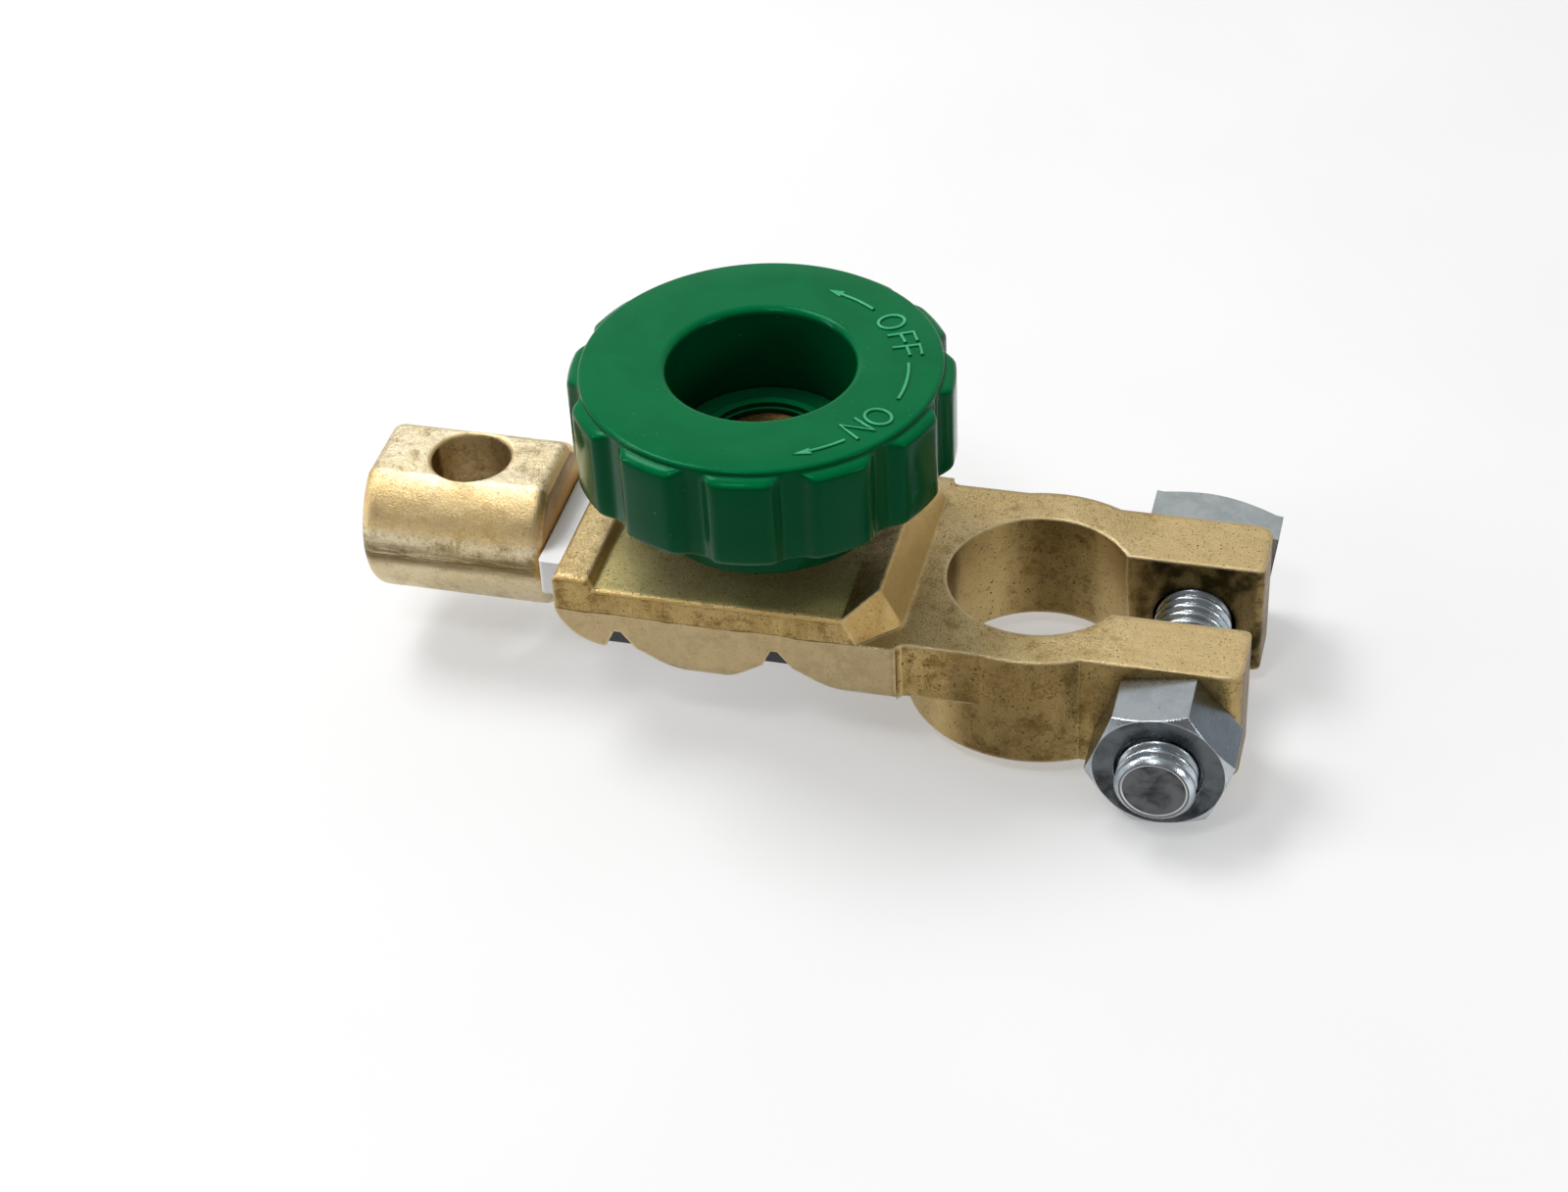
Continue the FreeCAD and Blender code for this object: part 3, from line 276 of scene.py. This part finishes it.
def cast_brass(name, light, dark, hollow_grime_and_shading, side_shade_and_tarnish, parting):
    """Satin cast brass with painted shade and patina on the sides, freckles, a hollow tone and a parting
    line.

    hollow_grime_and_shading is the colour laid in hollows, its strength and how wide a hollow it fills:
    dirt with painted shade where it is dark, a painted golden reflection where it is gold.
    side_shade_and_tarnish says how much painted shade and patina brown the sides. parting is the line's
    level, its end and how scuffed the band round it is.
    """
    paint = Paint(name)
    across, along, up = paint.axes()
    side_x, _, side_z = paint.facing()
    soft, edge = paint.rounded(0.7)
    upright = paint.spread(paint.size(side_z), 0.85, 0.3)

    stain, mottle = lay_metal(paint, light, dark)
    lay_sides(paint, upright, side_shade_and_tarnish)
    # the sloping faces lighter, a painted highlight
    sloping = paint.times(paint.spread(side_z, 0.25, 0.4), paint.spread(side_z, 0.9, 0.75))
    paint.coat(paint.times(sloping, 0.55), colour(246, 206, 130))
    lay_collar_reflections(paint, across, side_x, upright)

    # the roof under the knob, dulled by dirt: rougher and less metallic, and lightened with an olive tint,
    # painted light and a painted reflection of the knob
    from_roof = paint.size(paint.math("SUBTRACT", up, ROOF_TOP))
    on_roof = paint.times(paint.spread(from_roof, 0.3, 0.15), paint.spread(side_z, 0.9, 0.97))
    paint.coat(paint.times(on_roof, 0.5), colour(204, 198, 128))

    # painted shade, uneven, on the faces that look into the gap between the ears
    near_gap = paint.times(paint.spread(across, 8.5, 10.0), paint.spread(paint.size(along), 5.6, 5.0))
    gap_shade = paint.spread(paint.noise(0.3, detail=5, roughness=0.6), 0.4, 0.62, 0.35, 1.0)
    paint.coat(paint.times(near_gap, upright, gap_shade), colour(54, 45, 20))

    # tops of the ears, smoother than the rest
    ears = paint.times(
        paint.spread(side_z, 0.85, 0.97), paint.spread(up, -1.5, -0.5), paint.spread(across, 8.6, 11.2))
    paint.coat(paint.times(ears, 0.8), colour(212, 188, 138))

    below, line = lay_parting(paint, across, up, side_z, *parting)

    # freckles, a tone in the hollows (on the clamp dirt with painted shade, on the terminal a painted
    # golden reflection) and rubbed edges with a painted highlight
    freckles = paint.times(
        paint.spread(paint.noise(3.4, detail=3, roughness=0.6), 0.61, 0.67),
        paint.spread(below, 0, 1, 0.2 + side_shade_and_tarnish, 0.3),
        paint.spread(sloping, 0, 1, 1.0, 0.35))
    paint.coat(freckles, colour(66, 48, 26))
    hollow_tint, strength, reach = hollow_grime_and_shading
    hollow = paint.hollow(reach)
    strength = paint.spread(on_roof, 0, 1, strength, 0.4 * strength)
    # dirt with painted shade in the clamp's hollows, a painted golden reflection in the terminal's
    paint.coat(paint.times(paint.spread(hollow, 0.75, 0.2), strength), hollow_tint)
    # rubbed edges, also lightened as a painted highlight
    worn_and_highlit = paint.times(edge, paint.spread(mottle, 0.3, 0.5, 0.4, 0.8), paint.spread(hollow, 0.7, 0.9))
    paint.coat(worn_and_highlit, colour(250, 230, 184))

    grain = paint.noise(5.0, detail=4, roughness=0.65)
    height = paint.math("ADD", grain, paint.times(paint.noise(0.55), 1.5))
    height = paint.math("SUBTRACT", height, paint.times(line, 1.2))
    height = paint.math("SUBTRACT", height, paint.times(freckles, 0.7))
    duller = paint.times(paint.math("MAXIMUM", ears, on_roof), 0.12)
    paint.set(
        Base_Color=paint.tint,
        Metallic=paint.spread(on_roof, 0, 1, 1.0, 0.65),
        Roughness=paint.math("ADD", paint.spread(stain, 0.3, 0.75, 0.3, 0.48), duller),
        Normal=paint.bump(height, 0.065, soft),
    )
    return paint.material


def turned_brass():
    """Turned brass: fine rings round the knob's axis, darkened by painted shade down in the recess, with
    painted highlights on its edges.
    """
    paint = Paint("turned_brass_stud")
    across, along, _ = paint.axes()
    soft, edge = paint.rounded(0.15)
    from_axis = paint.math("SUBTRACT", across, KNOB_AXIS_X)
    squares = paint.math("ADD", paint.math("POWER", from_axis, 2.0), paint.math("POWER", along, 2.0))
    rings = paint.math("SINE", paint.times(paint.math("SQRT", squares), 28.0))
    clouds = paint.noise(0.5, detail=4)
    paint.tint = paint.blend(paint.spread(clouds, 0.35, 0.7), colour(214, 176, 104), colour(150, 112, 56))
    # painted highlight on the edges
    paint.coat(paint.times(edge, 0.4), colour(240, 212, 156))
    # painted shade down in the recess
    paint.coat(paint.spread(paint.hollow(16.0), 0.85, 0.5, 0, 0.93), colour(52, 40, 22))
    paint.set(
        Base_Color=paint.tint,
        Metallic=1.0,
        Roughness=paint.spread(clouds, 0.3, 0.7, 0.26, 0.42),
        Normal=paint.bump(paint.math("ADD", rings, paint.noise(4.0)), 0.012, soft),
    )
    return paint.material


def white_nylon():
    """Moulded nylon, bluish white and slightly waxy, painted near black behind the tabs as shade."""
    paint = Paint("white_nylon_moulded")
    soft, _ = paint.rounded(0.3)
    clouds = paint.noise(0.3, detail=3)
    paint.tint = paint.blend(paint.spread(clouds, 0.35, 0.7), colour(250, 251, 252), colour(240, 243, 247))
    _, along, _ = paint.axes()
    shade_behind_tabs = paint.spread(paint.size(along), 11.6, 12.0)
    # painted shade: near black behind the tabs
    paint.coat(paint.times(shade_behind_tabs, 0.97), colour(14, 14, 16))
    paint.set(
        Base_Color=paint.tint,
        Roughness=paint.spread(clouds, 0.3, 0.7, 0.36, 0.48),
        Normal=paint.bump(paint.noise(1.8, detail=3), 0.015, soft),
        Subsurface_Weight=0.15,
        Subsurface_Radius=(MM, MM, MM),
    )
    return paint.material


def green_plastic(name, light, dark, edge_round):
    """Glossy moulded plastic with a faint flow texture, painted shade on the sides and in hollows, painted
    highlights on the edges and fine dust.
    """
    paint = Paint(name)
    soft, edge = paint.rounded(edge_round)
    _, _, side_z = paint.facing()
    flow = paint.noise(0.16, detail=3, distortion=0.6)
    paint.tint = paint.blend(paint.spread(flow, 0.35, 0.65), dark, light)
    sides = paint.spread(paint.size(side_z), 0.7, 0.3)
    # painted shade: the sides darker
    paint.coat(paint.times(sides, 0.8), colour(0, 62, 30))
    # painted highlight on the edges
    paint.coat(paint.times(edge, 0.3), colour(52, 158, 104))
    # painted shade in the recess and other hollows
    paint.coat(paint.spread(paint.hollow(14.0), 0.6, 0.2, 0, 0.85), colour(4, 36, 18))
    dust = paint.spread(paint.noise(2.6), 0.745, 0.77)
    paint.coat(paint.times(dust, 0.3), colour(120, 190, 150))
    paint.set(
        Base_Color=paint.tint,
        Roughness=paint.spread(paint.noise(0.5, detail=4), 0.35, 0.7, 0.14, 0.2),
        Normal=paint.bump(paint.noise(1.1, detail=3), 0.012, soft),
        IOR=1.45,
        Specular_IOR_Level=0.2,
        Specular_Tint=(0.12, 0.75, 0.42, 1),
    )
    return paint.material


def zinc_steel(name, light, dark, flank, face, roughness):
    """Zinc-plated steel: smeared plating and fine draw marks, with painted shade and reflections on flanks
    and end faces, painted shade in corners and painted highlights on edges.
    """
    paint = Paint(name)
    soft, edge = paint.rounded(0.25)
    _, side_y, side_z = paint.facing()
    smears = paint.noise(0.35, detail=5, roughness=0.6, distortion=0.4)
    paint.tint = paint.blend(paint.spread(smears, 0.35, 0.68), light, dark)
    spots = paint.spread(paint.noise(2.6, detail=3), 0.68, 0.74)
    paint.coat(paint.times(spots, 0.5), colour(110, 112, 112))
    toward_end = paint.size(side_y)
    on_flank = paint.times(paint.spread(side_z, 0.92, 0.72), paint.spread(toward_end, 0.6, 0.4))
    # painted shade on flanks that face sideways and down
    paint.coat(paint.times(on_flank, 0.9), flank)
    on_face = paint.times(
        paint.spread(toward_end, 0.93, 0.985), paint.spread(smears, 0.3, 0.7, 1.0, 0.75))
    # painted reflection on the end faces, dark on the nut and bolt end, pale on the thread
    paint.coat(on_face, face)
    # painted shade in corners and thread roots
    paint.coat(paint.spread(paint.hollow(1.5), 0.7, 0.2, 0, 0.6), colour(52, 54, 58))
    # painted highlight on the edges
    paint.coat(paint.times(edge, 0.6), colour(236, 240, 242))
    marks = paint.noise(1.0, detail=4, roughness=0.7, place=paint.stretched(4.0, 0.4, 4.0))
    paint.set(
        Base_Color=paint.tint,
        Metallic=1.0,
        Roughness=paint.spread(smears, 0.3, 0.7, *roughness),
        Normal=paint.bump(paint.math("ADD", marks, smears), 0.015, soft),
    )
    return paint.material


body_brass = cast_brass(
    "cast_brass_clamp",
    light=colour(220, 196, 144),
    dark=colour(202, 176, 120),
    # dirt with painted shade in the hollows
    hollow_grime_and_shading=(colour(88, 68, 30), 0.85, 2.5),
    side_shade_and_tarnish=0.65,
    parting=(0.0, -11.6, 0.0),
)
terminal_brass = cast_brass(
    "cast_brass_terminal",
    light=colour(250, 236, 202),
    dark=colour(238, 220, 176),
    # a painted golden reflection in the hollows, deepest in the bore
    hollow_grime_and_shading=(colour(232, 180, 88), 0.9, 7.0),
    side_shade_and_tarnish=0.1,
    parting=(-0.73, 0.0, 0.9),
)
stud_brass = turned_brass()
nylon = white_nylon()
plastic = green_plastic("green_plastic_moulded", colour(2, 106, 59), colour(1, 100, 55), 0.3)
# the marks are the knob's own plastic, lighter green as a painted highlight
lit_mark_plastic = green_plastic("green_plastic_marks_lit", colour(80, 182, 134), colour(64, 166, 116), 0.02)
# the flank and face colours below are painted shade and painted reflections
nut_zinc = zinc_steel(
    "zinc_nut",
    light=colour(196, 202, 206),
    dark=colour(168, 176, 182),
    flank=colour(98, 110, 120),
    face=colour(46, 48, 50),
    roughness=(0.18, 0.32),
)
bolt_zinc = zinc_steel(
    "zinc_bolt",
    light=colour(204, 211, 211),
    dark=colour(178, 188, 190),
    flank=colour(150, 158, 160),
    face=colour(150, 156, 160),
    roughness=(0.3, 0.48),
)
# the thread's paler face is a painted highlight
thread_zinc = zinc_steel(
    "zinc_thread",
    light=colour(206, 214, 220),
    dark=colour(168, 180, 188),
    flank=colour(168, 180, 188),
    face=colour(216, 220, 224),
    roughness=(0.2, 0.34),
)
# the near-black end face is a painted dark reflection
cut_steel = zinc_steel(
    "cut_steel_end",
    light=colour(214, 216, 218),
    dark=colour(190, 192, 194),
    flank=colour(50, 50, 52),
    face=colour(38, 38, 40),
    roughness=(0.34, 0.5),
)

COATS = {
    "clamp_body": body_brass,
    "cable_terminal": terminal_brass,
    "knob_stud": stud_brass,
    "insulator_tray": nylon,
    "insulator_floor": nylon,
    "knob": plastic,
    "clamp_nut": nut_zinc,
    "clamp_bolt": bolt_zinc,
}
for name, coat in COATS.items():
    slots = nodes[name].material_slots
    if not slots:
        nodes[name].data.materials.append(coat)
    for slot in slots:
        slot.material = coat


# Meshes

def circle_point(radius, angle):
    """The point on a circle round the origin at an angle in radians."""
    return radius * math.cos(angle), radius * math.sin(angle)


def ring_of(mesh, radius, height, rounds=56):
    """Corners on a circle round +Z."""
    angles = [2 * math.pi * index / rounds for index in range(rounds)]
    return [mesh.verts.new((*circle_point(radius, angle), height)) for angle in angles]


def bridge(mesh, lower, upper):
    """Faces between two closed rows of corners."""
    for index in range(len(lower)):
        following = (index + 1) % len(lower)
        mesh.faces.new((lower[index], lower[following], upper[following], upper[index]))


def finish_mesh(mesh, name, coat, body, crease, replaced=None):
    """Make an object of a mesh, in place, riding on a body. Edges sharper than the crease stay so."""
    bmesh.ops.recalc_face_normals(mesh, faces=mesh.faces)
    mesh.normal_update()
    for face in mesh.faces:
        face.smooth = True
    for edge in mesh.edges:
        edge.smooth = len(edge.link_faces) == 2 and edge.calc_face_angle() < math.radians(crease)
    data = bpy.data.meshes.new(name)
    mesh.to_mesh(data)
    mesh.free()
    data.materials.append(coat)
    piece = bpy.data.objects.new(name, data)
    scene.collection.objects.link(piece)
    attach(piece, body)
    if replaced:
        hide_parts(replaced)


def kept_part(node, keeps):
    """The part of a node's mesh whose corners all pass the test."""
    mesh = bmesh.new()
    mesh.from_mesh(nodes[node].data)
    lost = [face for face in mesh.faces if not all(keeps(corner.co) for corner in face.verts)]
    bmesh.ops.delete(mesh, geom=lost, context="FACES")
    return mesh


# Threads of the bolt and the stud

def threaded_mesh(crest, depth, pitch, length, plain):
    """A screw thread round +Z from z = 0 to length, cut off square, that fades out in a plain end.

    Gives the mesh and its last ring of corners back.
    """
    rounds = 56
    steps = 10
    rows = int(length / pitch * steps) + 1
    mesh = bmesh.new()
    previous = None
    for row in range(rows + 1):
        height = min(row * pitch / steps, length)
        fade = min(1.0, (length - height) / plain)
        ring = []
        for index in range(rounds):
            phase = (height / pitch - index / rounds) % 1.0
            flank = abs(2 * phase - 1)
            cut = depth * fade * min(1.0, max(0.0, 1.35 * flank - 0.2))
            ring.append(mesh.verts.new((*circle_point(crest - cut, 2 * math.pi * index / rounds), height)))
        if previous:
            bridge(mesh, previous, ring)
        previous = ring
    return mesh, previous


def add_bolt():
    """The clamp bolt: its square head, its threaded shank and the dark, chamfered end."""
    lowest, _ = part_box("clamp_bolt")
    head_seat = HEAD_SEAT * MM
    head = kept_part("clamp_bolt", lambda corner: corner.y > head_seat - 0.05 * MM)
    finish_mesh(head, "clamp_bolt_head", bolt_zinc, "bolt", 30, "clamp_bolt")

    seat = Vector((BOLT_AXIS_X, HEAD_SEAT, BOLT_AXIS_Z)) * MM
    turn = Matrix.Translation(seat) @ Matrix.Rotation(math.radians(90), 4, "X")
    length = head_seat - lowest[1]
    threaded = length - 0.5 * MM
    crest = 3.98 * MM
    end_radius = 3.45 * MM
    thread, last = threaded_mesh(crest, depth=0.62 * MM, pitch=1.25 * MM, length=threaded, plain=0.3 * MM)
    slope = ring_of(thread, crest, threaded + 0.02 * MM)
    rim = ring_of(thread, end_radius, length)
    bridge(thread, last, slope)
    bridge(thread, slope, rim)
    thread.transform(turn)
    finish_mesh(thread, "clamp_bolt_thread", thread_zinc, "bolt", 50, "clamp_bolt")

    end = bmesh.new()
    rim = ring_of(end, end_radius, length)
    lip = ring_of(end, 3.25 * MM, length - 0.02 * MM)
    face = ring_of(end, 3.12 * MM, length - 0.1 * MM)
    bridge(end, rim, lip)
    bridge(end, lip, face)
    end.faces.new(face)
    end.transform(turn)
    finish_mesh(end, "clamp_bolt_end", cut_steel, "bolt", 30, "clamp_bolt")


def add_stud():
    """The knob's stud: its turned head and neck, and its threaded shank down to the contact tip."""
    lowest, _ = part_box("knob_stud")
    shoulder = STUD_SHOULDER * MM
    head = kept_part("knob_stud", lambda corner: corner.z > shoulder - 0.01 * MM)
    finish_mesh(head, "knob_stud_head", stud_brass, "stud", 30, "knob_stud")

    seat = Vector((KNOB_AXIS_X, 0, STUD_SHOULDER)) * MM
    turn = Matrix.Translation(seat) @ Matrix.Rotation(math.radians(180), 4, "X")
    length = shoulder - lowest[2]
    threaded = length - 1.0 * MM
    crest = 5.0 * MM
    thread, last = threaded_mesh(crest, depth=0.7 * MM, pitch=1.5 * MM, length=threaded, plain=0.4 * MM)
    tip = ring_of(thread, 4.0 * MM, length)
    bridge(thread, last, tip)
    thread.faces.new(tip)
    thread.transform(turn)
    finish_mesh(thread, "knob_stud_thread", stud_brass, "stud", 50, "knob_stud")


add_bolt()
add_stud()


# The knob's lobed shell

LOBES = 12
STEPS_PER_LOBE = 28
FIRST_VALLEY = 23.2
VALLEY_RADIUS = 18.1
LOBE_RADIUS = 19.25
LOBE_HEIGHT = LOBE_RADIUS - VALLEY_RADIUS
VALLEY_HALF = 0.85
LOBE_RUN = 1.75
INSIDE_REACH = 16.0
SHELL_INSIDE = 15.95
SHELL_FOOT = 11.9
FOOT_ROUND_VALLEY = 0.3
FOOT_ROUND_LOBE = 0.9
LOBE_TOP = 22.0
SHOULDER_ROUND = 0.9
SHOULDER_START = LOBE_TOP - SHOULDER_ROUND
RIM_ROUND = 0.4
RECESS_RIM = 10.2


def lobe_rise(angle):
    """How far the lobes stand out at an angle from the first valley: 0 in a valley, 1 on a lobe.

    Along the arc, a valley stays flat for VALLEY_HALF to each side and rises to the lobe over LOBE_RUN.
    """
    turn = (angle / (2 * math.pi / LOBES) + 0.5) % 1.0 - 0.5
    from_valley = abs(turn) * 2 * math.pi * LOBE_RADIUS / LOBES
    share = min(1.0, max(0.0, (from_valley - VALLEY_HALF) / LOBE_RUN))
    return math.sin(math.pi / 2 * share) ** 1.3


def shell_section(rise):
    """Radius and height of each row, from the shell's inner lower edge to the rim of the recess."""
    outside = VALLEY_RADIUS + LOBE_HEIGHT * rise
    foot = FOOT_ROUND_VALLEY + (FOOT_ROUND_LOBE - FOOT_ROUND_VALLEY) * rise
    rows = [(SHELL_INSIDE, SHELL_FOOT), (17.0, SHELL_FOOT)]
    for step in range(6):
        angle = math.pi / 10 * step
        rows.append((outside - foot * (1 - math.sin(angle)), SHELL_FOOT + foot * (1 - math.cos(angle))))
    side_start = SHELL_FOOT + FOOT_ROUND_LOBE
    for share in (0.25, 0.5, 0.75):
        rows.append((outside, side_start + (SHOULDER_START - side_start) * share))
    for step in range(7):
        angle = math.pi / 12 * step
        radius = VALLEY_RADIUS + LOBE_HEIGHT * rise * math.cos(angle)
        rows.append((radius, SHOULDER_START + SHOULDER_ROUND * math.sin(angle)))
    for step in range(5):
        angle = math.pi / 8 * step
        radius = VALLEY_RADIUS - RIM_ROUND * (1 - math.cos(angle))
        rows.append((radius, KNOB_TOP - RIM_ROUND + RIM_ROUND * math.sin(angle)))
    return rows + [(radius, KNOB_TOP) for radius in (15.0, 12.5, RECESS_RIM)]


def add_knob():
    """The knob: the solid's own inside, and a shell whose lobes run softly into the valleys."""
    axis = KNOB_AXIS_X * MM
    inside = kept_part("knob", lambda corner: math.hypot(corner.x - axis, corner.y) < INSIDE_REACH * MM)
    finish_mesh(inside, "knob_inside", plastic, "knob", 30, "knob")
    shell = bmesh.new()
    columns = []
    for index in range(LOBES * STEPS_PER_LOBE):
        angle = 2 * math.pi * index / (LOBES * STEPS_PER_LOBE)
        column = []
        for radius, height in shell_section(lobe_rise(angle)):
            across, along = circle_point(radius, angle + math.radians(FIRST_VALLEY))
            column.append(shell.verts.new(Vector((KNOB_AXIS_X + across, along, height)) * MM))
        columns.append(column)
    for column, following in zip(columns, columns[1:] + columns[:1]):
        for row in range(len(column) - 1):
            shell.faces.new((column[row], following[row], following[row + 1], column[row + 1]))
    finish_mesh(shell, "knob_shell", plastic, "knob", 60, "knob")


add_knob()


# Raised marks on the knob's top. Their points are in millimetres from the knob's axis.

KNOB = Vector((KNOB_AXIS_X, 0, KNOB_TOP))
MARK_RADIUS = 0.19
MARK_LIFT = 0.04
ARROW_FOOT = -0.1
ARROW_TOP = 0.12
ARROW_TAPER = 0.82
MARK_STROKES = {
    "mark_off_first": [[(11.30, 6.57), (13.70, 7.78), (14.41, 6.30)], [(12.56, 7.04), (13.33, 5.78)]],
    "mark_off_second": [[(12.26, 4.63), (14.78, 5.70), (15.41, 4.04)], [(13.61, 5.09), (14.26, 3.67)]],
    "mark_on_last": [[(11.30, -7.59), (13.60, -9.17), (10.15, -8.98), (12.41, -10.83)]],
}
# centre, turn in degrees, half height and half width
MARK_LOOPS = {
    "mark_off_loop": ((11.17, 9.07), 39.1, 1.36, 1.12),
    "mark_on_loop": ((13.46, -6.94), -27.3, 1.40, 1.16),
}
# radius and angle of each end
MARK_SWEEPS = {
    "mark_span": (14.6, 9.1, 15.16, -14.3),
    "mark_off_arrow": (14.09, 50.9, 13.95, 69.0),
    "mark_on_arrow": (15.80, -45.1, 15.84, -58.6),
}
# radius, angle of the tip and of the base, half width
MARK_TIPS = {
    "mark_off_tip": (14.05, 76.2, 68.0, 0.62),
    "mark_on_tip": (15.87, -65.2, -57.8, 0.58),
}


def add_mark(name, runs, closed=False):
    """Raised line that follows the given points on the knob's top."""
    data = bpy.data.curves.new(name, "CURVE")
    data.dimensions = "3D"
    data.bevel_depth = MARK_RADIUS * MM
    data.bevel_resolution = 3
    data.use_fill_caps = True
    for run in runs:
        spline = data.splines.new("POLY")
        spline.points.add(len(run) - 1)
        for point, (across, along) in zip(spline.points, run):
            place = (KNOB + Vector((across, along, MARK_LIFT))) * MM
            point.co = (*place, 1)
        spline.use_cyclic_u = closed
    piece = bpy.data.objects.new(name, data)
    scene.collection.objects.link(piece)
    data.materials.append(lit_mark_plastic)
    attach(piece, "knob")


def loop_points(centre, turn, tall, wide):
    """Points round an ellipse whose long axis is turned."""
    points = []
    steps = 28
    for index in range(steps):
        outward, sideways = circle_point(1, 2 * math.pi * index / steps)
        spot = Matrix.Rotation(math.radians(turn), 2) @ Vector((tall * outward, wide * sideways))
        points.append(Vector(centre) + spot)
    return points


def sweep_points(first_radius, first_angle, last_radius, last_angle):
    """Points on an arc round the knob's axis, whose radius may change a little."""
    points = []
    steps = 14
    for index in range(steps + 1):
        share = index / steps
        radius = first_radius + (last_radius - first_radius) * share
        angle = first_angle + (last_angle - first_angle) * share
        points.append(circle_point(radius, math.radians(angle)))
    return points


def add_arrow_tip(name, radius, tip, base, half):
    """Raised triangle whose top is a little smaller than its foot."""
    ends = ((radius, tip), (radius - half, base), (radius + half, base))
    outline = [Vector(circle_point(reach, math.radians(angle))) for reach, angle in ends]
    middle = sum(outline, Vector((0, 0))) / 3
    inset = [middle + (corner - middle) * ARROW_TAPER for corner in outline]
    mesh = bmesh.new()
    low = [mesh.verts.new((KNOB + Vector((*corner, ARROW_FOOT))) * MM) for corner in outline]
    high = [mesh.verts.new((KNOB + Vector((*corner, ARROW_TOP))) * MM) for corner in inset]
    bridge(mesh, low, high)
    mesh.faces.new(high)
    finish_mesh(mesh, name, lit_mark_plastic, "knob", 30)


for name, runs in MARK_STROKES.items():
    add_mark(name, runs)
for name, loop in MARK_LOOPS.items():
    add_mark(name, [loop_points(*loop)], closed=True)
for name, sweep in MARK_SWEEPS.items():
    add_mark(name, [sweep_points(*sweep)])
for name, arrow_tip in MARK_TIPS.items():
    add_arrow_tip(name, *arrow_tip)


# Floor and light

def add_floor():
    """A plain white floor that keeps the object's shadow."""
    low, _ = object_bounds()
    mesh = bmesh.new()
    bmesh.ops.create_grid(mesh, x_segments=1, y_segments=1, size=3)
    data = bpy.data.meshes.new("floor")
    mesh.to_mesh(data)
    mesh.free()
    floor = bpy.data.objects.new("floor", data)
    floor.location = (0, 0, low[2] - 0.2 * MM)
    scene.collection.objects.link(floor)
    paint = Paint("floor_paper")
    shade = paint.spread(paint.noise(0.02), 0.3, 0.7)
    rays = paint.add("LightPath")
    seen = paint.math("MAXIMUM", rays.outputs["Is Camera Ray"], rays.outputs["Is Glossy Ray"])
    seen = paint.math("MAXIMUM", seen, rays.outputs["Is Transmission Ray"])
    paint.set(
        Base_Color=paint.blend(shade, (0.60, 0.60, 0.60, 1), (0.62, 0.62, 0.62, 1)),
        Roughness=1.0,
        Specular_IOR_Level=0.0,
        Emission_Color=(1, 1, 1, 1),
        Emission_Strength=paint.times(seen, 0.35),
    )
    data.materials.append(paint.material)


def add_world():
    """Soft studio: a grey room that is bright behind and above the object."""
    world = bpy.data.worlds.new("studio")
    scene.world = world
    world.use_nodes = True
    tree = world.node_tree
    place = tree.nodes.new("ShaderNodeTexCoord")
    lean = tree.nodes.new("ShaderNodeVectorMath")
    lean.operation = "DOT_PRODUCT"
    lean.inputs[1].default_value = (-0.15, 0.75, 0.65)
    tree.links.new(place.outputs["Generated"], lean.inputs[0])
    ramp = tree.nodes.new("ShaderNodeValToRGB")
    tree.links.new(lean.outputs["Value"], ramp.inputs[0])
    stops = ramp.color_ramp.elements
    stops[0].position, stops[0].color = 0.0, (0.16, 0.16, 0.16, 1)
    stops[1].position, stops[1].color = 1.0, (0.62, 0.62, 0.62, 1)
    middle = stops.new(0.5)
    middle.color = (0.42, 0.42, 0.42, 1)
    background = tree.nodes["Background"]
    tree.links.new(ramp.outputs[0], background.inputs["Color"])
    background.inputs["Strength"].default_value = 1.0


def add_lamp(name, place, target, size, power):
    """A rectangular lamp that looks at a target, in metres and watts."""
    data = bpy.data.lights.new(name, "AREA")
    data.shape = "RECTANGLE"
    data.size, data.size_y = size
    data.energy = power
    lamp = bpy.data.objects.new(name, data)
    lamp.location = place
    aim = Vector(target) - Vector(place)
    lamp.rotation_euler = aim.to_track_quat("-Z", "Y").to_euler()
    scene.collection.objects.link(lamp)


add_floor()
add_world()
add_lamp("lamp_key", (-0.28, 0.12, 0.48), (-0.02, 0, 0), (0.26, 0.20), 1.7)
add_lamp("lamp_front", (-0.08, -0.26, 0.46), (-0.02, 0, 0), (0.10, 0.08), 0.4)
add_lamp("lamp_left", (-0.42, -0.12, 0.20), (-0.02, 0, 0), (0.03, 0.30), 0.35)
add_lamp("lamp_right", (0.44, -0.17, 0.17), (0, 0, 0), (0.12, 0.10), 0.35)
